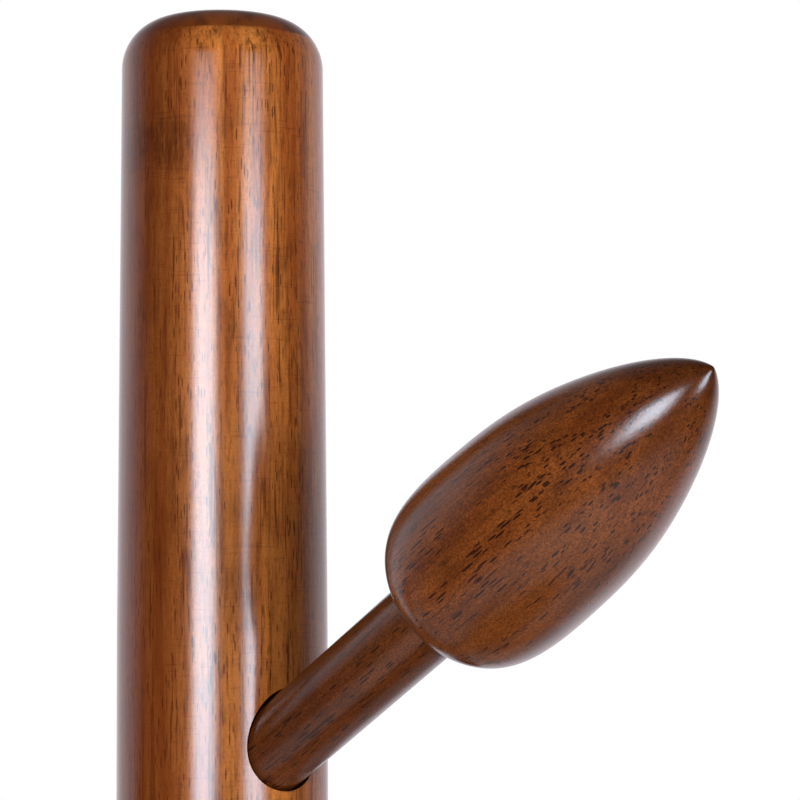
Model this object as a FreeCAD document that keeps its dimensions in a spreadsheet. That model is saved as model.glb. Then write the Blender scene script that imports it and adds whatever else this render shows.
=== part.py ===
import FreeCAD, Part
import math
import os
import Sketcher

# A wooden mug tree: a turned disc base, one round post and six turned arms that slope
# upwards and end in long rounded buds.  Each arm screws into the post on a hanger bolt and a
# threaded insert, and one bolt from beneath holds the post to the base.
# Millimetres, +Z up; the origin is on the post's axis, at the surface the four feet stand on.

doc = FreeCAD.newDocument("MugTree")


# ---------------------------------------------------------------- driving dimensions

SIZES = {
    "base_width": (170, "diameter of the turned base"),
    "base_height": (20, "thickness of the base"),
    "base_top_round": (9, "round-over of the base's upper edge"),
    "base_low_round": (2, "round-over of the base's lower edge"),
    "foot_width": (16, "diameter of a foot pad"),
    "foot_height": (2.5, "thickness of a foot pad"),
    "foot_sink": (1, "depth of a foot pad's seat in the base"),
    "foot_circle": (134, "diameter of the circle through the foot pads"),
    "foot_edge": (0.5, "bevel on a foot pad's lower edge"),
    "post_width": (26, "diameter of the post"),
    "post_tip_width": (25.1, "diameter of the post where its rounded end starts"),
    "post_shoulder": (6.4, "radius of the round shoulder at the post's upper end"),
    "post_dome": (39, "radius of the shallow dome that closes the post"),
    "taper_start": (20, "height above the highest arm where the post starts to taper"),
    "post_over": (97.2, "height of the post above the highest arm's root"),
    "tenon_width": (20, "diameter of the post's tenon"),
    "tenon_length": (8, "length of the post's tenon"),
    "first_arm": (86, "height of the lowest arm's root above the base"),
    "arm_step": (39, "height between one arm's root and the next"),
    "arm_slope": (30.6, "upward slope of every arm, in degrees"),
    "peg_width": (9.8, "diameter of an arm's peg"),
    "peg_seat": (7.2, "distance of the pocket's floor from the post's axis, along the arm"),
    "cove": (1.2, "radius of the cove where peg and bud meet"),
    "bud_start": (48, "distance of the bud's back face from the post's axis"),
    "bud_length": (47.2, "length of the bud"),
    "bud_girth": (23.4, "width that the bud's outline is drawn to, a little over the finished width"),
    "bolt_width": (4, "thread diameter of an arm's hanger bolt"),
    "bolt_in_arm": (22, "length of the hanger bolt inside the arm"),
    "bolt_in_post": (10, "length of the hanger bolt inside the post"),
    "bolt_point": (3, "length of the hanger bolt's wood-screw point"),
    "insert_width": (6.5, "outer diameter of an arm's threaded insert"),
    "insert_length": (12, "length of an arm's threaded insert"),
    "base_bolt_width": (6, "thread diameter of the bolt through the base"),
    "base_bolt_grip": (24, "length of the base bolt under its head"),
    "bolt_head_flats": (10, "width across the flats of the base bolt's head"),
    "bolt_head_height": (4, "height of the base bolt's head"),
    "washer_width": (18, "outer diameter of the washer"),
    "washer_height": (1.6, "thickness of the washer"),
    "counterbore_width": (22, "diameter of the recess for the bolt head and washer"),
    "counterbore_depth": (6.5, "depth of that recess"),
    "post_insert_width": (10, "outer diameter of the threaded insert in the post's foot"),
    "post_insert_length": (20, "length of that insert"),
    "pocket_gap": (0.4, "radial clearance of a peg in its pocket"),
    "bore_gap": (0.05, "radial clearance of inserts and bolts in their holes"),
    "end_gap": (0.5, "clearance past the end of a bolt, an insert or the tenon"),
}

ARM_TURNS = (0, 240, 120, 60, 300, 180)    # heading of each arm in degrees, from the top arm down
FOOT_COUNT = 4

sheet = doc.addObject("Spreadsheet::Sheet", "Sizes")
for row, (alias, (value, note)) in enumerate(SIZES.items(), start=1):
    sheet.set(f"A{row}", note)
    sheet.set(f"B{row}", str(value))
    sheet.setAlias(f"B{row}", alias)
doc.recompute()

# The bud's outline is one smooth curve.  It sets out square from the axis, as far as this share
# of the way from the peg's side to half the bud's drawn width.  Each of its other guide points is
# given as a share of the bud's length from its back face, and a share of half its drawn width.
BUD_BACK = 0.31
BUD_GUIDE = ((0.043, 1.004), (0.334, 0.982), (0.617, 0.911), (0.949, 0.347))

# Formulas that several pieces share, in the sheet's own words.
UNDERSIDE = "(Sizes.foot_height - Sizes.foot_sink)"
BASE_TOP = f"({UNDERSIDE} + Sizes.base_height)"
BOLT_SEAT = f"({UNDERSIDE} + Sizes.counterbore_depth)"
TENON_END = f"({BASE_TOP} - Sizes.tenon_length)"
TOP_ARM = f"({BASE_TOP} + Sizes.first_arm + {len(ARM_TURNS) - 1} * Sizes.arm_step)"
POST_TOP = f"({TOP_ARM} + Sizes.post_over)"
PEG_RADIUS = "(Sizes.peg_width / 2)"
INSERT_END = "(Sizes.peg_seat - Sizes.insert_length)"
BUD_TIP = "(Sizes.bud_start + Sizes.bud_length)"


# ---------------------------------------------------------------- helpers

def number(formula):
    """The present value of a formula of the sheet's cells."""
    return float(sheet.evalExpression(formula.replace("Sizes.", "")))


def new_body(label):
    body = doc.addObject("PartDesign::Body", label)
    body.Label = label
    return body


def plane_of(body, role):
    return [item for item in body.Origin.OriginFeatures if item.Role == role][0]


def new_sketch(body, name, role="XY_Plane", place=None, lift=None):
    """A sketch on one of the body's own planes, lifted off it or placed anew by a formula."""
    sketch = body.newObject("Sketcher::SketchObject", f"{body.Label}_{name}")
    sketch.AttachmentSupport = [(plane_of(body, role), "")]
    sketch.MapMode = "FlatFace"
    if place:
        sketch.setExpression("AttachmentOffset", place)
    if lift:
        sketch.setExpression(".AttachmentOffset.Base.z", lift)
    doc.recompute()
    return sketch


def bind(sketch, constraint, name, formula):
    """Add a constraint and tie its value to a formula."""
    index = sketch.addConstraint(constraint)
    sketch.renameConstraint(index, name)
    sketch.setExpression(f"Constraints.{name}", formula)


def bind_point(sketch, geo, end, name, across, up):
    """Fix a point of the sketch at two formulas measured from the sketch's origin."""
    if across == "0":
        sketch.addConstraint(Sketcher.Constraint("PointOnObject", geo, end, -2))
    else:
        move = Sketcher.Constraint("DistanceX", -1, 1, geo, end, number(across))
        bind(sketch, move, f"{name}_across", across)
    if up == "0":
        sketch.addConstraint(Sketcher.Constraint("PointOnObject", geo, end, -1))
    else:
        move = Sketcher.Constraint("DistanceY", -1, 1, geo, end, number(up))
        bind(sketch, move, f"{name}_up", up)


def point(across, up):
    return FreeCAD.Vector(number(across), number(up), 0)


def add_lines(sketch, corners, closed=True):
    """Straight lines through the corners; each corner is a pair of formulas."""
    ends = corners[1:] + corners[:1] if closed else corners[1:]
    first = sketch.GeometryCount
    for start, end in zip(corners, ends):
        sketch.addGeometry(Part.LineSegment(point(*start), point(*end)), False)
    last = sketch.GeometryCount - 1
    for geo in range(first, last):
        sketch.addConstraint(Sketcher.Constraint("Coincident", geo, 2, geo + 1, 1))
    if closed:
        sketch.addConstraint(Sketcher.Constraint("Coincident", last, 2, first, 1))
    for index, corner in enumerate(corners[:len(ends)]):
        bind_point(sketch, first + index, 1, f"corner{first + index}", *corner)
    if not closed:
        bind_point(sketch, last, 2, f"corner{last + 1}", *corners[-1])
    return first, last


def add_circle(sketch, radius, name):
    geo = sketch.addGeometry(Part.Circle(FreeCAD.Vector(), FreeCAD.Vector(0, 0, 1), number(radius)), False)
    sketch.addConstraint(Sketcher.Constraint("Coincident", geo, 3, -1, 1))
    bind(sketch, Sketcher.Constraint("Radius", geo, number(radius)), name, radius)


def turn(body, sketch, axis, cut=False):
    """Revolve a sketch once round one of its axes, to add wood or to cut it away."""
    kind = "PartDesign::Groove" if cut else "PartDesign::Revolution"
    feature = body.newObject(kind, sketch.Name + "_turned")
    feature.Profile = sketch
    feature.ReferenceAxis = (sketch, [axis])
    feature.Angle = 360
    doc.recompute()
    return feature


def pad(body, sketch, length, reverse=False):
    feature = body.newObject("PartDesign::Pad", sketch.Name + "_pad")
    feature.Profile = sketch
    feature.setExpression("Length", length)
    feature.Reversed = reverse
    doc.recompute()
    return feature


def pocket(body, sketch, depth, upward):
    """Cut a sketch into the body, upwards or downwards along the sketch's normal."""
    feature = body.newObject("PartDesign::Pocket", sketch.Name + "_cut")
    feature.Profile = sketch
    feature.setExpression("Length", depth)
    feature.Reversed = upward
    doc.recompute()
    return feature


def round_edges(body, radius, height, reach, kind="PartDesign::Fillet"):
    """Round or bevel the full circle that lies at a height and a distance from the axis."""
    base = body.Tip
    names = []
    for index, edge in enumerate(base.Shape.Edges, start=1):
        box = edge.BoundBox
        level = abs(box.ZMin - number(height)) < 1e-4 and abs(box.ZMax - number(height)) < 1e-4
        if level and abs(box.XLength / 2 - number(reach)) < 1e-4:
            names.append(f"Edge{index}")
    feature = body.newObject(kind, f"{body.Label}_edge_{len(body.Group)}")
    feature.Base = (base, names)
    feature.setExpression("Size" if kind.endswith("Chamfer") else "Radius", radius)
    doc.recompute()
    return feature


def arm_place(number_of_arm):
    """Formula for the frame of one arm: its X axis runs out along the arm from the post's axis."""
    height = f"{TOP_ARM} - {number_of_arm - 1} * Sizes.arm_step"
    heading = ARM_TURNS[number_of_arm - 1]
    turned = f"rotation(vector(0; 0; 1); {heading}) * rotation(vector(0; 1; 0); -Sizes.arm_slope)"
    return f"placement(vector(0; 0; {height}); {turned})"


# ---------------------------------------------------------------- the base

def make_base():
    """Turned disc with rounded edges, a socket on top and a stepped bolt hole beneath."""
    body = new_body("base")
    outline = new_sketch(body, "outline", "XZ_Plane")
    half = "(Sizes.base_width / 2)"
    add_lines(outline, [("0", UNDERSIDE), (half, UNDERSIDE), (half, BASE_TOP), ("0", BASE_TOP)])
    turn(body, outline, "V_Axis")
    round_edges(body, "Sizes.base_top_round", BASE_TOP, half)
    round_edges(body, "Sizes.base_low_round", UNDERSIDE, half)
    socket = new_sketch(body, "socket", lift=BASE_TOP)
    add_circle(socket, "Sizes.tenon_width / 2 + Sizes.bore_gap", "socket_radius")
    pocket(body, socket, "Sizes.tenon_length + Sizes.end_gap", upward=False)
    recess = new_sketch(body, "recess", lift=UNDERSIDE)
    add_circle(recess, "Sizes.counterbore_width / 2", "recess_radius")
    pocket(body, recess, "Sizes.counterbore_depth", upward=True)
    hole = new_sketch(body, "bolt_hole", lift=UNDERSIDE)
    add_circle(hole, "Sizes.base_bolt_width / 2 + Sizes.pocket_gap", "hole_radius")
    pocket(body, hole, "Sizes.base_height", upward=True)
    seat = new_sketch(body, "foot_seat", lift=UNDERSIDE)
    reach = "(Sizes.foot_circle / 2)"
    middle = Part.Circle(point(reach, "0"), FreeCAD.Vector(0, 0, 1), number("Sizes.foot_width / 2"))
    geo = seat.addGeometry(middle, False)
    bind_point(seat, geo, 3, "seat", reach, "0")
    radius = "Sizes.foot_width / 2 + Sizes.bore_gap"
    bind(seat, Sketcher.Constraint("Radius", geo, number(radius)), "seat_radius", radius)
    first_seat = pocket(body, seat, "Sizes.foot_sink", upward=True)
    ring = body.newObject("PartDesign::PolarPattern", "base_foot_seats")
    ring.Originals = [first_seat]
    ring.Axis = (plane_of(body, "Z_Axis"), [""])
    ring.Angle = 360
    ring.Occurrences = FOOT_COUNT
    body.Tip = ring
    doc.recompute()
    return body


def make_foot(index):
    """Round felt pad pressed into its seat, with a slightly bevelled lower edge."""
    body = new_body(f"foot_{index}")
    rim = "Sizes.foot_width / 2"
    disc = new_sketch(body, "disc")
    add_circle(disc, rim, "foot_radius")
    pad(body, disc, "Sizes.foot_height")
    round_edges(body, "Sizes.foot_edge", "0", rim, "PartDesign::Chamfer")
    angle = 360 / FOOT_COUNT * (index - 1)
    reach = "Sizes.foot_circle / 2"
    body.setExpression("Placement", f"placement(vector({reach} * cos({angle}); {reach} * sin({angle}); 0); "
                                    "rotation(vector(0; 0; 1); 0))")
    return body


# ---------------------------------------------------------------- the post

def make_post():
    """Round post with a tenon, a slight taper to its domed end, and six sloping arm pockets."""
    body = new_body("post")
    outline = new_sketch(body, "outline", "XZ_Plane")
    half = "(Sizes.post_width / 2)"
    tenon = "(Sizes.tenon_width / 2)"
    taper = f"({TOP_ARM} + Sizes.taper_start)"
    first, last = add_lines(outline, [
        ("0", TENON_END), (tenon, TENON_END), (tenon, BASE_TOP), (half, BASE_TOP), (half, taper),
    ], closed=False)
    add_rounded_end(outline, first, last, taper)
    turn(body, outline, "V_Axis")
    for arm in range(1, len(ARM_TURNS) + 1):
        drill_arm_pocket(body, arm)
    bore = new_sketch(body, "insert_bore", lift=TENON_END)
    add_circle(bore, "Sizes.post_insert_width / 2 + Sizes.bore_gap", "bore_radius")
    pocket(body, bore, "Sizes.post_insert_length + Sizes.base_bolt_grip / 2", upward=True)
    return body


def add_rounded_end(outline, first, last, taper):
    """Close the post's outline with its taper, the shoulder's arc, the dome's arc and the axis."""
    up = FreeCAD.Vector(0, 0, 1)
    side = number("Sizes.post_tip_width / 2")
    shoulder = number("Sizes.post_shoulder")
    dome = number("Sizes.post_dome")
    top = number(POST_TOP)
    rise = math.sqrt((dome - shoulder) ** 2 - (side - shoulder) ** 2)
    centre = FreeCAD.Vector(side - shoulder, top - dome + rise, 0)
    meet = math.atan2(rise, side - shoulder)
    corner = FreeCAD.Vector(side, centre.y, 0)
    foot = FreeCAD.Vector(number("Sizes.post_width / 2"), number(taper), 0)
    slope = outline.addGeometry(Part.LineSegment(foot, corner), False)
    arc = outline.addGeometry(Part.ArcOfCircle(Part.Circle(centre, up, shoulder), 0, meet), False)
    cap_centre = FreeCAD.Vector(0, top - dome, 0)
    cap = outline.addGeometry(Part.ArcOfCircle(Part.Circle(cap_centre, up, dome), meet, math.pi / 2), False)
    axis = outline.addGeometry(Part.LineSegment(FreeCAD.Vector(0, top, 0), point("0", TENON_END)), False)
    outline.addConstraint([
        Sketcher.Constraint("Coincident", last, 2, slope, 1),
        Sketcher.Constraint("Tangent", slope, 2, arc, 1),
        Sketcher.Constraint("Tangent", arc, 2, cap, 1),
        Sketcher.Constraint("PointOnObject", cap, 3, -2),
        Sketcher.Constraint("Coincident", cap, 2, axis, 1),
        Sketcher.Constraint("Coincident", axis, 2, first, 1),
    ])
    bind(outline, Sketcher.Constraint("Radius", arc, shoulder), "shoulder_radius", "Sizes.post_shoulder")
    bind(outline, Sketcher.Constraint("Radius", cap, dome), "dome_radius", "Sizes.post_dome")
    width = Sketcher.Constraint("DistanceX", -1, 1, slope, 2, side)
    bind(outline, width, "tip_width", "Sizes.post_tip_width / 2")
    bind_point(outline, cap, 2, "top", "0", POST_TOP)
    doc.recompute()


def drill_arm_pocket(body, arm):
    """Flat-bottomed pocket for one peg, with a narrower bore beyond it for the threaded insert."""
    place = arm_place(arm)
    stepped = new_sketch(body, f"pocket_{arm}", place=place)
    bore_end = f"({INSERT_END} - Sizes.end_gap)"
    bore = "(Sizes.insert_width / 2 + Sizes.bore_gap)"
    mouth = f"({PEG_RADIUS} + Sizes.pocket_gap)"
    outside = "(Sizes.post_width + Sizes.peg_width)"
    add_lines(stepped, [
        (bore_end, "0"), (bore_end, bore), ("Sizes.peg_seat", bore), ("Sizes.peg_seat", mouth),
        (outside, mouth), (outside, "0"),
    ])
    turn(body, stepped, "H_Axis", cut=True)


# ---------------------------------------------------------------- the arms

def make_arm(arm):
    """One turned piece: a straight peg, a small cove, and a long bud that narrows to a round tip."""
    body = new_body(f"arm_{arm}")
    outline = new_sketch(body, "outline")
    cove_start = "(Sizes.bud_start - Sizes.cove)"
    first, last = add_lines(outline, [
        (BUD_TIP, "0"), ("Sizes.peg_seat", "0"), ("Sizes.peg_seat", PEG_RADIUS), (cove_start, PEG_RADIUS),
    ], closed=False)
    add_bud_curve(outline, first, last, cove_start)
    turn(body, outline, "H_Axis")
    bore = new_sketch(body, "bolt_bore", "YZ_Plane", lift="Sizes.peg_seat")
    add_circle(bore, "Sizes.bolt_width / 2 + Sizes.bore_gap", "bore_radius")
    pocket(body, bore, "Sizes.bolt_in_arm + Sizes.end_gap", upward=True)
    body.setExpression("Placement", arm_place(arm))
    return body


def add_bud_curve(outline, first, last, cove_start):
    """Join peg and tip with the cove's arc and the bud's smooth curve."""
    up = FreeCAD.Vector(0, 0, 1)
    cove_rise = f"({PEG_RADIUS} + Sizes.cove)"
    cove = number("Sizes.cove")
    centre = point(cove_start, cove_rise)
    arc = outline.addGeometry(Part.ArcOfCircle(Part.Circle(centre, up, cove), -math.pi / 2, 0), False)
    outline.addConstraint(Sketcher.Constraint("Coincident", last, 2, arc, 1))
    bind_point(outline, arc, 3, "cove_centre", cove_start, cove_rise)
    outline.addConstraint(Sketcher.Constraint("Horizontal", arc, 2, arc, 3))
    back = f"({PEG_RADIUS} + (Sizes.bud_girth / 2 - {PEG_RADIUS}) * {BUD_BACK})"
    guides = [("Sizes.bud_start", cove_rise), ("Sizes.bud_start", back)]
    for along, out in BUD_GUIDE:
        guides.append((f"Sizes.bud_start + Sizes.bud_length * {along}", f"Sizes.bud_girth / 2 * {out}"))
    guides.append((BUD_TIP, "0"))
    poles = [point(*guide) for guide in guides]
    curve = Part.BSplineCurve()
    spans = len(poles) - 3
    curve.buildFromPolesMultsKnots(poles, [4] + [1] * (spans - 1) + [4], list(range(spans + 1)), False, 3)
    geo = outline.addGeometry(curve, False)
    outline.exposeInternalGeometry(geo)
    outline.addConstraint(Sketcher.Constraint("Coincident", arc, 2, geo, 1))
    outline.addConstraint(Sketcher.Constraint("Coincident", geo, 2, first, 1))
    for index, guide in enumerate(guides[1:-1], start=1):
        bind_point(outline, geo + 1 + index, 3, f"guide{index}", *guide)
    doc.recompute()


# ---------------------------------------------------------------- fixings

def make_arm_bolt(arm):
    """Hanger bolt: plain machine end in the post, wood-screw end with a point in the arm."""
    body = new_body(f"arm_bolt_{arm}")
    outline = new_sketch(body, "outline")
    radius = "(Sizes.bolt_width / 2)"
    start = "(Sizes.peg_seat - Sizes.bolt_in_post)"
    end = "(Sizes.peg_seat + Sizes.bolt_in_arm)"
    add_lines(outline, [
        (start, "0"), (start, radius), (f"{end} - Sizes.bolt_point", radius),
        (end, f"{radius} / 4"), (end, "0"),
    ])
    turn(body, outline, "H_Axis")
    body.setExpression("Placement", arm_place(arm))
    return body


def make_arm_insert(arm):
    """Threaded insert flush with the floor of an arm's pocket."""
    body = new_body(f"arm_insert_{arm}")
    outline = new_sketch(body, "outline")
    bore = "(Sizes.bolt_width / 2 + Sizes.bore_gap)"
    outer = "(Sizes.insert_width / 2)"
    add_lines(outline, [
        (INSERT_END, bore), (INSERT_END, outer), ("Sizes.peg_seat", outer), ("Sizes.peg_seat", bore),
    ])
    turn(body, outline, "H_Axis")
    body.setExpression("Placement", arm_place(arm))
    return body


def make_post_insert():
    """Threaded insert flush with the end of the post's tenon."""
    body = new_body("post_insert")
    outline = new_sketch(body, "outline", "XZ_Plane")
    bore = "(Sizes.base_bolt_width / 2 + Sizes.bore_gap)"
    outer = "(Sizes.post_insert_width / 2)"
    end = f"({TENON_END} + Sizes.post_insert_length)"
    add_lines(outline, [(bore, TENON_END), (outer, TENON_END), (outer, end), (bore, end)])
    turn(body, outline, "V_Axis")
    return body


def make_base_washer():
    """Washer against the floor of the recess under the base."""
    body = new_body("base_washer")
    outline = new_sketch(body, "outline", "XZ_Plane")
    bore = "(Sizes.base_bolt_width / 2 + Sizes.pocket_gap)"
    outer = "(Sizes.washer_width / 2)"
    low = f"({BOLT_SEAT} - Sizes.washer_height)"
    add_lines(outline, [(bore, low), (outer, low), (outer, BOLT_SEAT), (bore, BOLT_SEAT)])
    turn(body, outline, "V_Axis")
    return body


def make_base_bolt():
    """Hexagon-headed bolt up through the base into the post's insert."""
    body = new_body("base_bolt")
    under_head = f"({BOLT_SEAT} - Sizes.washer_height)"
    head = new_sketch(body, "head", lift=under_head)
    reach = "(Sizes.bolt_head_flats / sqrt(3))"
    corners = []
    for corner in range(6):
        angle = 60 * corner
        across = "0" if angle in (90, 270) else f"{reach} * cos({angle})"
        up = "0" if angle in (0, 180) else f"{reach} * sin({angle})"
        corners.append((across, up))
    add_lines(head, corners)
    pad(body, head, "Sizes.bolt_head_height", reverse=True)
    shank = new_sketch(body, "shank", lift=under_head)
    add_circle(shank, "Sizes.base_bolt_width / 2", "shank_radius")
    pad(body, shank, "Sizes.base_bolt_grip")
    return body


# ---------------------------------------------------------------- the whole tree

pieces = [make_base(), make_post()]
for arm_number in range(1, len(ARM_TURNS) + 1):
    pieces.append(make_arm(arm_number))
    pieces.append(make_arm_bolt(arm_number))
    pieces.append(make_arm_insert(arm_number))
pieces.append(make_post_insert())
pieces.append(make_base_washer())
pieces.append(make_base_bolt())
for foot_number in range(1, FOOT_COUNT + 1):
    pieces.append(make_foot(foot_number))
doc.recompute()

for item in doc.Objects:
    if "Invalid" in item.State or "Error" in item.State:
        raise RuntimeError(f"{item.Label} did not rebuild: {item.State}")
    if item.isDerivedFrom("Sketcher::SketchObject") and item.solve() != 0:
        raise RuntimeError(f"{item.Label} has constraints that do not agree")

os.makedirs("parts", exist_ok=True)
for piece in pieces:
    shape = piece.Shape
    if shape.isNull() or not shape.isValid() or len(shape.Solids) != 1:
        raise RuntimeError(f"{piece.Label} is not one valid solid")
    shape.exportStep(f"parts/{piece.Label}.step")
    print(f"{piece.Label:14s} volume {shape.Volume:10.1f} mm3")
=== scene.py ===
import math

import bmesh
import bpy
from mathutils import Matrix, Vector


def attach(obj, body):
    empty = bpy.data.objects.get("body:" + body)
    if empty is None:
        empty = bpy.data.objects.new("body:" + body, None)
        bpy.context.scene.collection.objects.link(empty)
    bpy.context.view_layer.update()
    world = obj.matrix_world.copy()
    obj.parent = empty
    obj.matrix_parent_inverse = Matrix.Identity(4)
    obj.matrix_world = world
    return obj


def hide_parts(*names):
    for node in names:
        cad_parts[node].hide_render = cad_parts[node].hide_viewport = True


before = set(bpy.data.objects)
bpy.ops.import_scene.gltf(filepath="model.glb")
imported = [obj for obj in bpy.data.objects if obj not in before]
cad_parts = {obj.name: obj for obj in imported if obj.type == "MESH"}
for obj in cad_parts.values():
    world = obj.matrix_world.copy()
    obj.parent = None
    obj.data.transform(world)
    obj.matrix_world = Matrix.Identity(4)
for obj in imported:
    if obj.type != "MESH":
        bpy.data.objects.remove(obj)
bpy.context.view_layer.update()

# A wooden mug tree: walnut-stained, lacquered hardwood turned on a lathe.  Everything is in
# metres; the sizes below are the tree's own, in millimetres, and MM turns them into metres.
MM = 0.001

# ------------------------------------------------------------------ sizes of the tree

ARM_TURNS = (0, 240, 120, 60, 300, 180)     # heading of each arm in degrees, from the top arm down
ARMS = range(1, len(ARM_TURNS) + 1)
ARM_STEP = 39
ARM_SLOPE = 30.6
BASE_TOP = 21.5
TENON_RADIUS = 10
TENON_LENGTH = 8
LOWEST_ARM = BASE_TOP + 86
TOP_ARM = LOWEST_ARM + (len(ARM_TURNS) - 1) * ARM_STEP
POST_TOP = TOP_ARM + 97.2
POST_RADIUS = 13
POST_TIP_RADIUS = 12.55
TAPER_START = TOP_ARM + 20
SHOULDER = 6.4
DOME = 39
PEG_RADIUS = 4.9
PEG_SEAT = 7.2
POCKET_RADIUS = 5.3
COVE = 1.2
BUD_START = 48
BUD_LENGTH = 47.2
BUD_HALF_GIRTH = 11.7
# the bud's curve: how high the first guide stands at its back, then shares of its length and girth
BUD_BACK = 0.31
BUD_GUIDE = ((0.043, 1.004), (0.334, 0.982), (0.617, 0.911), (0.949, 0.347))


# ------------------------------------------------------------------ where things stand

def arm_frame(arm):
    """Matrix of one arm: origin on the post's axis, X out along the arm. Lengths in metres."""
    height = (TOP_ARM - (arm - 1) * ARM_STEP) * MM
    heading = Matrix.Rotation(math.radians(ARM_TURNS[arm - 1]), 4, "Z")
    slope = Matrix.Rotation(-math.radians(ARM_SLOPE), 4, "Y")
    return Matrix.Translation((0, 0, height)) @ heading @ slope


UPRIGHT = Matrix.Rotation(-math.pi / 2, 4, "Y")     # grain up the post: its X axis points up


# ------------------------------------------------------------------ shader nodes

class Nodes:
    """Small helper that adds linked shader nodes to one node tree."""

    def __init__(self, tree):
        self.tree = tree

    def add(self, kind, **settings):
        node = self.tree.nodes.new(kind)
        for name, value in settings.items():
            setattr(node, name, value)
        return node

    def feed(self, socket, value):
        if isinstance(value, bpy.types.NodeSocket):
            self.tree.links.new(value, socket)
        else:
            socket.default_value = value

    def math(self, operation, first, second=0.0):
        node = self.add("ShaderNodeMath", operation=operation)
        self.feed(node.inputs[0], first)
        self.feed(node.inputs[1], second)
        node.inputs[2].default_value = 0.0
        return node.outputs[0]

    def vector(self, operation, first, second):
        node = self.add("ShaderNodeVectorMath", operation=operation)
        self.feed(node.inputs[0], first)
        self.feed(node.inputs[1], second)
        return node.outputs["Value"] if operation == "DOT_PRODUCT" else node.outputs["Vector"]

    def ramp(self, value, low, high, start=0.0, end=1.0):
        node = self.add("ShaderNodeMapRange", interpolation_type="SMOOTHSTEP")
        self.feed(node.inputs["Value"], value)
        self.feed(node.inputs["From Min"], low)
        self.feed(node.inputs["From Max"], high)
        self.feed(node.inputs["To Min"], start)
        self.feed(node.inputs["To Max"], end)
        return node.outputs["Result"]

    def noise(self, place, stretch, detail=3.0, rough=0.55, twist=0.0):
        node = self.add("ShaderNodeTexNoise")
        self.feed(node.inputs["Vector"], self.vector("MULTIPLY", place, stretch))
        node.inputs["Scale"].default_value = 1.0
        node.inputs["Detail"].default_value = detail
        node.inputs["Roughness"].default_value = rough
        node.inputs["Distortion"].default_value = twist
        return node.outputs["Fac"]

    def cells(self, place, stretch):
        node = self.add("ShaderNodeTexVoronoi", feature="F1")
        self.feed(node.inputs["Vector"], self.vector("MULTIPLY", place, stretch))
        node.inputs["Scale"].default_value = 1.0
        return node.outputs["Distance"]

    def split(self, place):
        """The X, Y and Z of a position, by name."""
        node = self.add("ShaderNodeSeparateXYZ")
        self.feed(node.inputs[0], place)
        return node.outputs

    def mix(self, share, first, second):
        """Two colours blended; the colour sockets share their names with others, so they go by number."""
        node = self.add("ShaderNodeMix", data_type="RGBA")
        self.feed(node.inputs[0], share)
        self.feed(node.inputs[6], first)
        self.feed(node.inputs[7], second)
        return node.outputs[2]


# ------------------------------------------------------------------ camera

VIEW_HEADING = math.radians(53.06)     # the view comes from this far round from the top arm
VIEW_DISTANCE = 24.88 * POST_RADIUS * MM
VIEW_HEIGHT = (TOP_ARM + 2.30 * POST_RADIUS) * MM
LENS = 117
LOOK_ASIDE = 3.91                      # turned this many degrees to the right of the post
LOOK_UP = 3.37
LEAN = -0.22
TOWARDS_VIEW = Vector((math.sin(VIEW_HEADING), -math.cos(VIEW_HEADING), 0))
RIGHT_OF_VIEW = Vector((math.cos(VIEW_HEADING), math.sin(VIEW_HEADING), 0))


def place_camera():
    """Long lens close to the post's top, turned a little right and tipped a little up."""
    data = bpy.data.cameras.new("camera")
    data.sensor_width = 36
    data.lens = LENS
    data.clip_start = 0.01
    data.clip_end = 50
    camera = bpy.data.objects.new("camera", data)
    bpy.context.collection.objects.link(camera)
    camera.location = TOWARDS_VIEW * VIEW_DISTANCE + Vector((0, 0, VIEW_HEIGHT))
    turn = Matrix.Rotation(VIEW_HEADING - math.radians(LOOK_ASIDE), 4, "Z")
    tip = Matrix.Rotation(math.radians(90 + LOOK_UP), 4, "X")
    roll = Matrix.Rotation(math.radians(LEAN), 4, "Z")
    camera.rotation_euler = (turn @ tip @ roll).to_euler()
    bpy.context.scene.camera = camera


# ------------------------------------------------------------------ light

LAMP_TINT = (0.72, 0.85, 1.0)
LAMP_DISTANCE = 0.9
# angle round the post from the camera in degrees, width in metres, brightness
LEFT_LAMP = (-20, 0.53, 64)
RIGHT_LAMP = (34, 0.48, 51)
LAMP_FOOT = (TOP_ARM - 130) * MM       # lower edge of the soft boxes
LAMP_HEIGHT = 0.40
TOP_FADE = 0.79                        # share of the height above which their glow dies away
EDGE_FADE = (0.17, 0.50)               # shares of the width between which it dies away sideways


def diffuse_cloth(tree):
    """The glow of a soft box's cloth: even in the middle, dying away to the sides and the top."""
    n = Nodes(tree)
    spot = n.split(n.add("ShaderNodeNewGeometry").outputs["Parametric"])
    aside = n.math("ABSOLUTE", n.math("SUBTRACT", spot["X"], 0.5))
    sideways = n.ramp(aside, *EDGE_FADE, 1.0, 0.0)
    upwards = n.ramp(spot["Y"], TOP_FADE, 1.0, 1.0, 0.0)
    emission = next(node for node in tree.nodes if node.type == "EMISSION")
    n.feed(emission.inputs["Strength"], n.math("MULTIPLY", sideways, upwards))


def soft_box(name, angle, width, brightness):
    """An upright soft box to one side of the camera, facing the post."""
    swing = math.radians(angle)
    direction = TOWARDS_VIEW * math.cos(swing) + RIGHT_OF_VIEW * math.sin(swing)
    data = bpy.data.lights.new(name, "AREA")
    data.shape = "RECTANGLE"
    data.size = width
    data.size_y = LAMP_HEIGHT
    data.energy = brightness * width * LAMP_HEIGHT
    data.color = LAMP_TINT
    data.use_nodes = True
    diffuse_cloth(data.node_tree)
    lamp = bpy.data.objects.new(name, data)
    bpy.context.collection.objects.link(lamp)
    lamp.location = direction * LAMP_DISTANCE + Vector((0, 0, LAMP_FOOT + LAMP_HEIGHT / 2))
    lamp.rotation_euler = direction.to_track_quat("Z", "Y").to_euler()
    lamp.visible_camera = False


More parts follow.
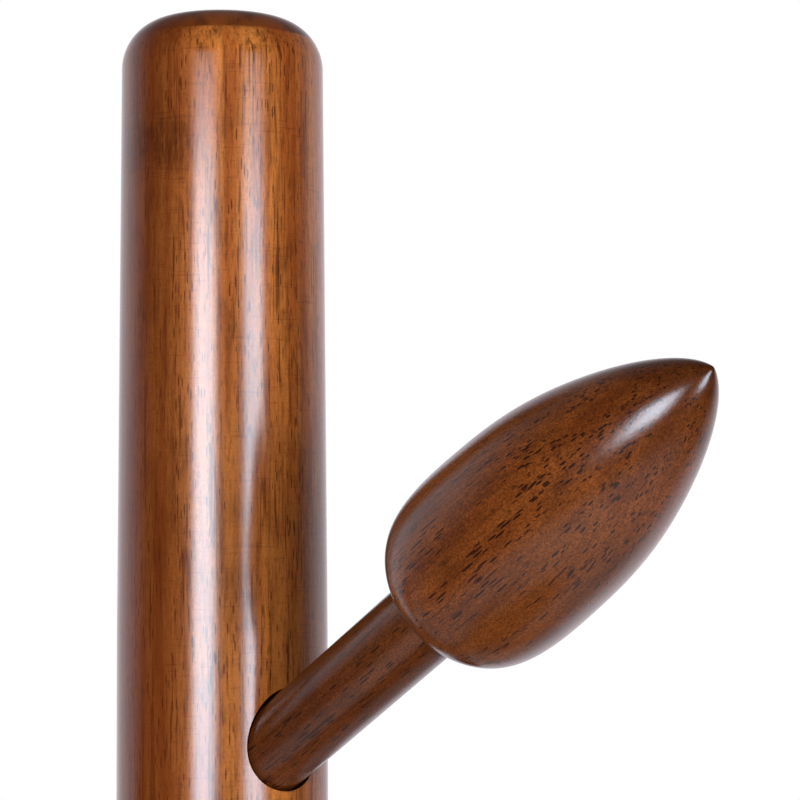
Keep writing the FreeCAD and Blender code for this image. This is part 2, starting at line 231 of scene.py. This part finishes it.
def light_studio():
    soft_box("left_soft_box", *LEFT_LAMP)
    soft_box("right_soft_box", *RIGHT_LAMP)


BACKDROP_TINT = (0.97, 0.93, 1.0, 1.0)
BEHIND_LEVEL = 1.05
FRONT_LEVEL = 0.02
OVERHEAD_SHARE = 0.15
WHITE = (1, 1, 1, 1)


def white_surround():
    """White all round to the eye; in reflections, white behind the tree and dim in front of it."""
    world = bpy.data.worlds.new("white_surround")
    world.use_nodes = True
    bpy.context.scene.world = world
    world.node_tree.nodes.clear()
    n = Nodes(world.node_tree)
    direction = n.add("ShaderNodeTexCoord").outputs["Generated"]
    towards = n.vector("DOT_PRODUCT", direction, TOWARDS_VIEW)
    level = n.ramp(towards, -0.70, 0.05, BEHIND_LEVEL, FRONT_LEVEL)
    low = n.ramp(n.split(direction)["Z"], 0.15, 0.75, 1.0, OVERHEAD_SHARE)
    mirrored = n.add("ShaderNodeBackground")
    mirrored.inputs["Color"].default_value = BACKDROP_TINT
    n.feed(mirrored.inputs["Strength"], n.math("MULTIPLY", level, low))
    seen = n.add("ShaderNodeBackground")
    seen.inputs["Color"].default_value = WHITE
    choice = n.add("ShaderNodeMixShader")
    n.feed(choice.inputs[0], n.add("ShaderNodeLightPath").outputs["Is Camera Ray"])
    n.feed(choice.inputs[1], mirrored.outputs["Background"])
    n.feed(choice.inputs[2], seen.outputs["Background"])
    output = n.add("ShaderNodeOutputWorld")
    n.feed(output.inputs["Surface"], choice.outputs["Shader"])


# ------------------------------------------------------------------ materials

def srgb(red, green, blue):
    """Linear colour, with full alpha, from the 0 to 255 values a paint card would give."""
    linear = []
    for value in (red, green, blue):
        share = value / 255
        linear.append(share / 12.92 if share <= 0.04045 else ((share + 0.055) / 1.055) ** 2.4)
    return (*linear, 1.0)


def new_material(name):
    material = bpy.data.materials.new(name)
    material.use_nodes = True
    tree = material.node_tree
    tree.nodes.clear()
    shader = tree.nodes.new("ShaderNodeBsdfPrincipled")
    output = tree.nodes.new("ShaderNodeOutputMaterial")
    tree.links.new(shader.outputs["BSDF"], output.inputs["Surface"])
    return material, Nodes(tree), shader


PORE_EDGE = 0.035                      # how softly a pore ends, as a share of its cell
LONG_PORE_CELL = (26.0, 0.85)          # length and width in millimetres
THREAD_SHIFT = (9.0, 5.0, 3.0)         # keeps threads and long pores apart from the short ones
SEED_STRIDE = (37.0, 17.3, 11.9)       # how far one seed's wood lies from the next one's
RING_COUNT = 6.0
GRAIN_DEPTH = 0.00006                  # of the grain that shows through the lacquer, in metres


def needles(n, at, length, across, limit):
    """Open pores cut along the grain; each has one cell of wood, and limit is its share of it."""
    cell = n.cells(at, (1 / length, 1 / across, 1 / across))
    return n.ramp(n.math("SUBTRACT", cell, limit), -PORE_EDGE, PORE_EDGE, 1.0, 0.0)


def measured_material(name):
    """A new material with its nodes, its shader and the object's own coordinates in millimetres."""
    material, n, shader = new_material(name)
    coords = n.add("ShaderNodeTexCoord")
    at = n.vector("MULTIPLY", coords.outputs["Object"], (1 / MM, 1 / MM, 1 / MM))
    return material, n, shader, at


def stained_wood(name, place, seed, tone, mark=None):
    """Walnut-stained open-pored hardwood under gloss lacquer, with its grain along X of place."""
    material, n, shader = new_material(name)
    coords = n.add("ShaderNodeTexCoord")
    mapping = n.add("ShaderNodeMapping", vector_type="TEXTURE")
    n.feed(mapping.inputs["Vector"], coords.outputs["Object"])
    mapping.inputs["Location"].default_value = place.to_translation()
    mapping.inputs["Rotation"].default_value = place.to_euler()
    mapping.inputs["Scale"].default_value = (MM, MM, MM)
    at = n.vector("ADD", mapping.outputs["Vector"], [seed * stride for stride in SEED_STRIDE])

    # figure: broad soft stripes, fibre streaks at two scales, thin ring lines, rays, clouds and specks
    drift = n.noise(at, (0.008, 0.11, 0.11), 2.0)
    broad = n.noise(at, (0.014, 0.26, 0.26), 4.0, 0.6, 0.3)
    fibre = n.noise(at, (0.06, 1.3, 1.3), 5.0, 0.72)
    fleck = n.noise(at, (0.45, 2.8, 2.8), 4.0, 0.70)
    rings = n.noise(at, (0.012, 0.40, 0.40), 3.0, 0.50)
    turn = n.math("FRACT", n.math("MULTIPLY", rings, RING_COUNT))
    ring_edge = n.math("ABSOLUTE", n.math("SUBTRACT", turn, 0.5))
    gaps = n.noise(at, (0.08, 0.50, 0.50), 2.0)
    ring_line = n.math("MULTIPLY", n.ramp(ring_edge, 0.02, 0.12, 1.0, 0.0), n.ramp(gaps, 0.45, 0.60))
    rays = n.noise(at, (4.2, 0.22, 0.22), 3.0, 0.55)
    cloud = n.noise(at, (0.16, 0.24, 0.24), 3.0)
    speck = n.noise(at, (3.4, 5.0, 5.0), 3.0, 0.80)

    colour = n.mix(n.ramp(broad, 0.36, 0.64), tone["middle"], tone["light"])
    shares = [
        n.ramp(drift, 0.45, 0.70, 0.0, tone["drift"]),
        n.ramp(fibre, 0.46, 0.72, 0.0, tone["fibre"]),
        n.ramp(fleck, 0.46, 0.72, 0.0, tone["fleck"]),
        n.math("MULTIPLY", ring_line, tone["rings"]),
        n.ramp(rays, 0.56, 0.72, 0.0, tone["rays"]),
        n.ramp(cloud, 0.48, 0.72, 0.0, tone["cloud"]),
        n.ramp(speck, 0.35, 0.65, 0.0, tone["speck"]),
    ]
    for share in shares:
        colour = n.mix(share, colour, tone["dark"])

    # pores: short needles, threads and long lines along the grain, crowded in some rings only
    crowd = n.ramp(n.noise(at, (0.045, 0.36, 0.36), 3.0), 0.35, 0.54)
    short_limit = n.math("MULTIPLY", crowd, tone["pore_share"])
    short = needles(n, at, *tone["pore_cell"], n.math("ADD", short_limit, -0.02))
    shifted = n.vector("ADD", at, THREAD_SHIFT)
    strands = n.noise(shifted, (0.16, 2.7, 2.7), 3.0, 0.62)
    thread = n.math("MULTIPLY", n.ramp(strands, 0.60, 0.66), n.math("MULTIPLY", crowd, tone["thread"]))
    long = needles(n, shifted, *LONG_PORE_CELL, n.math("MULTIPLY", crowd, tone["line_share"]))
    pore = n.math("MAXIMUM", n.math("MAXIMUM", short, long), thread)
    colour = n.mix(n.math("MULTIPLY", pore, tone["pore_depth"]), colour, tone["pore"])

    # end grain drinks more stain
    normal = n.add("ShaderNodeNewGeometry").outputs["Normal"]
    grain = place.to_3x3() @ Vector((1, 0, 0))
    facing = n.math("ABSOLUTE", n.vector("DOT_PRODUCT", normal, tuple(grain)))
    uneven = n.math("ADD", facing, n.math("MULTIPLY", speck, 0.04))
    end_stain = n.ramp(uneven, tone["end_from"], tone["end_to"], 0.0, tone["end_depth"])
    end_colour = n.mix(n.ramp(cloud, 0.35, 0.65, 0.0, 0.30), tone["end"], tone["middle"])
    colour = n.mix(end_stain, colour, end_colour)
    if mark:
        figure = {"fleck": fleck, "rays": rays, "cloud": cloud}
        colour = mark(n, mapping.outputs["Vector"], figure, colour, tone["dark"])

    n.feed(shader.inputs["Base Color"], colour)
    n.feed(shader.inputs["Roughness"], n.ramp(pore, 0.0, 1.0, 0.45, 0.65))
    shader.inputs["Specular IOR Level"].default_value = 0.0
    shader.inputs["Coat Weight"].default_value = 1.0
    shader.inputs["Coat Roughness"].default_value = tone["gloss"]
    shader.inputs["Coat IOR"].default_value = 1.5
    bump = n.add("ShaderNodeBump")
    bump.inputs["Strength"].default_value = tone["relief"]
    bump.inputs["Distance"].default_value = GRAIN_DEPTH
    height = n.math("ADD", n.math("MULTIPLY", fleck, 0.6), n.math("MULTIPLY", speck, 0.3))
    n.feed(bump.inputs["Height"], height)
    n.feed(shader.inputs["Normal"], bump.outputs["Normal"])
    n.feed(shader.inputs["Coat Normal"], bump.outputs["Normal"])
    return material


# light, middle, dark, pore and end: colours.  end_from, end_to, end_depth: how square the grain
# meets the surface where end grain starts and is full, and its strength.  drift to speck: how
# strongly each part of the figure darkens.  pore_cell: length and width in mm of the wood round a
# short pore; the other pore values are shares.  gloss: roughness of the lacquer.  relief: bump.
POST_TONE = {
    "light": srgb(218, 124, 53), "middle": srgb(178, 86, 32), "dark": srgb(68, 25, 8),
    "pore": srgb(58, 20, 7), "end": srgb(82, 37, 16),
    "end_from": 0.53, "end_to": 0.59, "end_depth": 0.9,
    "drift": 0.35, "fibre": 0.60, "fleck": 0.50, "rings": 0.60,
    "rays": 0.30, "cloud": 0.30, "speck": 0.25,
    "pore_cell": (3.5, 0.46), "pore_share": 0.24, "line_share": 0.14,
    "thread": 0.85, "pore_depth": 0.72,
    "gloss": 0.17, "relief": 0.12,
}
ARM_TONE = {
    "light": srgb(161, 81, 29), "middle": srgb(129, 59, 18), "dark": srgb(44, 18, 8),
    "pore": srgb(36, 13, 6), "end": srgb(46, 19, 9),
    "end_from": 0.50, "end_to": 0.90, "end_depth": 0.6,
    "drift": 0.35, "fibre": 0.25, "fleck": 0.35, "rings": 0.15,
    "rays": 0.12, "cloud": 0.35, "speck": 0.65,
    "pore_cell": (3.5, 0.43), "pore_share": 0.31, "line_share": 0.16,
    "thread": 0.90, "pore_depth": 0.88,
    "gloss": 0.20, "relief": 0.36,
}
BASE_TONE = {**POST_TONE, "end_from": 0.40, "end_to": 1.00, "end_depth": 0.75}


# heartwood colour, also used as painted shade where light falls off down one side of the post
HEARTWOOD_AND_SHADE = srgb(92, 34, 8)
SHADE_AND_SCORCH_SIDE = -RIGHT_OF_VIEW            # the side of the post that holds the heartwood, its painted side shade and the scorch
HEART_AND_SHADE_SHARE = 0.72
FAR_SHADE = 0.18                       # painted shade: how much darker the opposite side is
BURN_DROP = 17.5                       # from the post's top down to the scorched band
BURN_SHARE = 0.62
PEG_DARKENING = 0.30                       # strength on the peg and at the tip
TIP_DARKENING = 0.50
TIP_DARKENING_START = 0.68                 # share of the bud's length


def heart_shade_and_burn(n, spot, figure, colour, dark):
    """Darker heartwood with painted side shade down one side of the post, painted shade down the other,
    and a faint scorch left by a turning tool.
    """
    side = UPRIGHT.to_3x3().inverted() @ SHADE_AND_SCORCH_SIDE
    reach = n.vector("DOT_PRODUCT", spot, tuple(side))
    # heartwood and painted shade: the post darker down the side away from the right of the view
    colour = n.mix(n.ramp(reach, 1.5, 8.0, 0.0, HEART_AND_SHADE_SHARE), colour, HEARTWOOD_AND_SHADE)
    # painted shade: the post darker towards the opposite side
    colour = n.mix(n.ramp(reach, -12.0, -5.0, FAR_SHADE, 0.0), colour, dark)
    away = n.math("ABSOLUTE", n.math("SUBTRACT", n.split(spot)["X"], POST_TOP - BURN_DROP))
    for part, swing in (("rays", 9.0), ("cloud", 10.0)):
        sway = n.math("MULTIPLY", n.math("SUBTRACT", figure[part], 0.5), swing)
        away = n.math("ADD", away, sway)
    band = n.ramp(away, 0.5, 5.0, BURN_SHARE, 0.0)
    patchy = n.math("MULTIPLY", band, n.ramp(figure["fleck"], 0.30, 0.55, 0.35, 1.0))
    return n.mix(n.math("MULTIPLY", patchy, n.ramp(reach, 1.0, 6.0)), colour, dark)


def peg_and_tip(n, spot, figure, colour, dark):
    """The arm darker on its peg and towards the tip of its bud."""
    along = n.split(spot)["X"]
    peg = n.ramp(along, BUD_START - 3.0, BUD_START + 3.0, PEG_DARKENING, 0.0)
    tip_start = BUD_START + TIP_DARKENING_START * BUD_LENGTH
    tip = n.ramp(along, tip_start, BUD_START + BUD_LENGTH, 0.0, TIP_DARKENING)
    return n.mix(n.math("ADD", peg, tip), colour, dark)


def zinc_plate():
    """Bright zinc on steel, with faint drawing marks."""
    material, n, shader, at = measured_material("zinc_plate")
    marks = n.noise(at, (0.8, 0.8, 3.0), 4.0)
    n.feed(shader.inputs["Base Color"], n.mix(marks, srgb(150, 152, 156), srgb(205, 206, 208)))
    n.feed(shader.inputs["Roughness"], n.ramp(marks, 0.3, 0.7, 0.25, 0.45))
    shader.inputs["Metallic"].default_value = 1.0
    return material


def turned_brass():
    material, n, shader, at = measured_material("turned_brass")
    marks = n.noise(at, (2.0, 2.0, 2.0), 3.0)
    n.feed(shader.inputs["Base Color"], n.mix(marks, srgb(176, 136, 62), srgb(214, 178, 96)))
    n.feed(shader.inputs["Roughness"], n.ramp(marks, 0.3, 0.7, 0.3, 0.45))
    shader.inputs["Metallic"].default_value = 1.0
    return material


def pressed_felt():
    """Dense dark felt: matted fibres, almost no shine."""
    material, n, shader, at = measured_material("pressed_felt")
    fluff = n.noise(at, (3.0, 3.0, 3.0), 5.0, 0.7, 1.5)
    n.feed(shader.inputs["Base Color"], n.mix(fluff, srgb(28, 24, 22), srgb(74, 64, 58)))
    n.feed(shader.inputs["Roughness"], n.ramp(fluff, 0.2, 0.8, 0.85, 1.0))
    bump = n.add("ShaderNodeBump")
    bump.inputs["Strength"].default_value = 0.6
    bump.inputs["Distance"].default_value = 0.0002
    n.feed(bump.inputs["Height"], fluff)
    n.feed(shader.inputs["Normal"], bump.outputs["Normal"])
    return material


FLOOR_RADIUS = 0.50
FLOOR_FADE = 0.26                      # the floor fades into the white from here outwards


def pale_floor_paint():
    material, n, shader = new_material("pale_floor_paint")
    spot = n.add("ShaderNodeTexCoord").outputs["Object"]
    tone = n.noise(spot, (2.0, 2.0, 2.0), 2.0)
    n.feed(shader.inputs["Base Color"], n.mix(tone, srgb(246, 238, 226), srgb(250, 243, 233)))
    shader.inputs["Roughness"].default_value = 0.7
    reach = n.math("SQRT", n.vector("DOT_PRODUCT", spot, spot))
    n.feed(shader.inputs["Alpha"], n.ramp(reach, FLOOR_FADE, FLOOR_RADIUS, 1.0, 0.0))
    return material


# ------------------------------------------------------------------ shapes

SHARP_ANGLE = math.radians(35)         # edges that turn more than this stay crisp
POST_STEPS = 192                       # facets round the post, the arms and the pocket cutters
ARM_STEPS = 144
CUTTER_STEPS = 96
CUTTER_END = 40                        # millimetres along the arm, clear of the post
WELD = 1e-6                            # points closer than this, in metres, become one
# where in the wood each piece is cut from
POST_SEED = 3.1
ARM_SEED = 1.7
BASE_SEED = 8.3


def arc(centre, radius, start, end, steps):
    """Points of an arc, with angles in degrees: 0 along the axis, 90 straight out."""
    points = []
    for step in range(steps + 1):
        angle = math.radians(start + (end - start) * step / steps)
        points.append((centre[0] + radius * math.cos(angle), centre[1] + radius * math.sin(angle)))
    return points


def line(start, end, steps):
    """Points from start to end, the last left out."""
    points = []
    for step in range(steps):
        share = step / steps
        points.append((start[0] + (end[0] - start[0]) * share, start[1] + (end[1] - start[1]) * share))
    return points


def smooth_curve(guides, steps):
    """Cubic curve that is led by its guide points and runs from the first to the last."""
    spans = len(guides) - 3
    knots = [0] * 4 + list(range(1, spans)) + [spans] * 4
    points = []
    for step in range(steps + 1):
        at = min(spans * step / steps, spans - 1e-9)
        first = int(at)
        near = [Vector(guides[first + k]) for k in range(4)]
        for level in range(1, 4):
            for k in range(3, level - 1, -1):
                low = knots[first + k]
                high = knots[first + k + 4 - level]
                share = (at - low) / (high - low)
                near[k] = near[k - 1].lerp(near[k], share)
        points.append(tuple(near[3]))
    return points


def turned(name, outline, steps, place):
    """Spin an outline of (along, out) pairs in millimetres round the X axis of place."""
    mesh = bmesh.new()
    verts = [mesh.verts.new((along * MM, out * MM, 0)) for along, out in outline]
    edges = [mesh.edges.new(pair) for pair in zip(verts, verts[1:])]
    bmesh.ops.spin(mesh, geom=verts + edges, cent=(0, 0, 0), axis=(1, 0, 0), angle=2 * math.pi,
                   steps=steps, use_merge=True)
    bmesh.ops.remove_doubles(mesh, verts=mesh.verts, dist=WELD)
    bmesh.ops.transform(mesh, matrix=place, verts=mesh.verts)
    bmesh.ops.recalc_face_normals(mesh, faces=mesh.faces)
    return finish_mesh(name, mesh)


def finish_mesh(name, mesh):
    """Turn a bmesh into an object that is smooth but for its sharp edges."""
    data = bpy.data.meshes.new(name)
    mesh.to_mesh(data)
    mesh.free()
    data.shade_smooth()
    data.set_sharp_from_angle(angle=SHARP_ANGLE)
    piece = bpy.data.objects.new(name, data)
    bpy.context.collection.objects.link(piece)
    return piece


def hang_up(piece, node, material):
    """Give a finished piece its material and its body, and hide the CAD node it stands for."""
    piece.data.materials.clear()
    piece.data.materials.append(material)
    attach(piece, "root")
    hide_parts(node)


def cut_away(piece, cutters):
    """Take the cutters' shapes out of a piece and throw the cutters away."""
    for cutter in cutters:
        modifier = piece.modifiers.new("cut", "BOOLEAN")
        modifier.operation = "DIFFERENCE"
        modifier.solver = "EXACT"
        modifier.object = cutter
    bpy.context.view_layer.update()
    scene_state = bpy.context.evaluated_depsgraph_get()
    cut = bpy.data.meshes.new_from_object(piece.evaluated_get(scene_state))
    piece.modifiers.clear()
    old = piece.data
    piece.data = cut
    bpy.data.meshes.remove(old)
    for cutter in cutters:
        bpy.data.objects.remove(cutter)
    cut.shade_smooth()
    cut.set_sharp_from_angle(angle=SHARP_ANGLE)


def post_outline():
    """The post from its tenon up to the middle of the dome."""
    flat = POST_TIP_RADIUS - SHOULDER
    rise = math.sqrt((DOME - SHOULDER) ** 2 - flat ** 2)
    meet = math.degrees(math.atan2(flat, rise))
    centre = POST_TOP - DOME + rise
    tenon_end = BASE_TOP - TENON_LENGTH
    outline = [(tenon_end, 0), (tenon_end, TENON_RADIUS), (BASE_TOP, TENON_RADIUS)]
    outline += line((BASE_TOP, POST_RADIUS), (TAPER_START, POST_RADIUS), steps=120)
    outline += line((TAPER_START, POST_RADIUS), (centre, POST_TIP_RADIUS), steps=30)
    outline += arc((centre, flat), SHOULDER, 90, meet, steps=24)
    outline += arc((POST_TOP - DOME, 0), DOME, meet, 0, steps=12)[1:]
    return outline


def pocket_cutter(arm):
    """Round cutter for one arm's pocket, from the pocket's floor outwards."""
    wall = [(PEG_SEAT, POCKET_RADIUS), (CUTTER_END, POCKET_RADIUS)]
    outline = [(PEG_SEAT, 0), *wall, (CUTTER_END, 0)]
    return turned(f"cutter_{arm}", outline, CUTTER_STEPS, arm_frame(arm))


def make_post():
    post = turned("post_rod", post_outline(), POST_STEPS, UPRIGHT)
    cut_away(post, [pocket_cutter(arm) for arm in ARMS])
    material = stained_wood("post_wood", UPRIGHT, POST_SEED, POST_TONE, heart_shade_and_burn)
    hang_up(post, "post", material)


def arm_outline():
    """Peg, cove and bud, from the pocket's floor to the tip."""
    cove_start = BUD_START - COVE
    back = PEG_RADIUS + (BUD_HALF_GIRTH - PEG_RADIUS) * BUD_BACK
    guides = [(BUD_START, PEG_RADIUS + COVE), (BUD_START, back)]
    for along, out in BUD_GUIDE:
        guides.append((BUD_START + BUD_LENGTH * along, BUD_HALF_GIRTH * out))
    guides.append((BUD_START + BUD_LENGTH, 0))
    outline = [(PEG_SEAT, 0)]
    outline += line((PEG_SEAT, PEG_RADIUS), (cove_start, PEG_RADIUS), steps=12)
    outline += arc((cove_start, PEG_RADIUS + COVE), COVE, -90, 0, steps=10)
    outline += smooth_curve(guides, steps=110)[1:]
    return outline


def make_arm(arm):
    place = arm_frame(arm)
    piece = turned(f"arm_{arm}_turning", arm_outline(), ARM_STEPS, place)
    material = stained_wood(f"arm_{arm}_wood", place, ARM_SEED + arm, ARM_TONE, peg_and_tip)
    hang_up(piece, f"arm_{arm}", material)


def finish_cad_nodes():
    """Finishes for the pieces that keep their own shape."""
    zinc = zinc_plate()
    brass = turned_brass()
    finishes = {
        "arm_bolt": zinc, "base_bolt": zinc, "base_washer": zinc,
        "arm_insert": brass, "post_insert": brass,
        "foot": pressed_felt(),
        "base": stained_wood("base_wood", Matrix(), BASE_SEED, BASE_TONE),
    }
    for name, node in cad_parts.items():
        kind = name.rstrip("_0123456789")
        if kind in finishes:
            for slot in node.material_slots:
                slot.material = finishes[kind]


def lay_floor():
    mesh = bmesh.new()
    bmesh.ops.create_circle(mesh, cap_ends=True, segments=128, radius=FLOOR_RADIUS)
    floor = finish_mesh("pale_floor", mesh)
    floor.data.materials.append(pale_floor_paint())


place_camera()
white_surround()
light_studio()
bpy.context.scene.view_settings.view_transform = "Standard"
lay_floor()
make_post()
for arm_number in ARMS:
    make_arm(arm_number)
finish_cad_nodes()
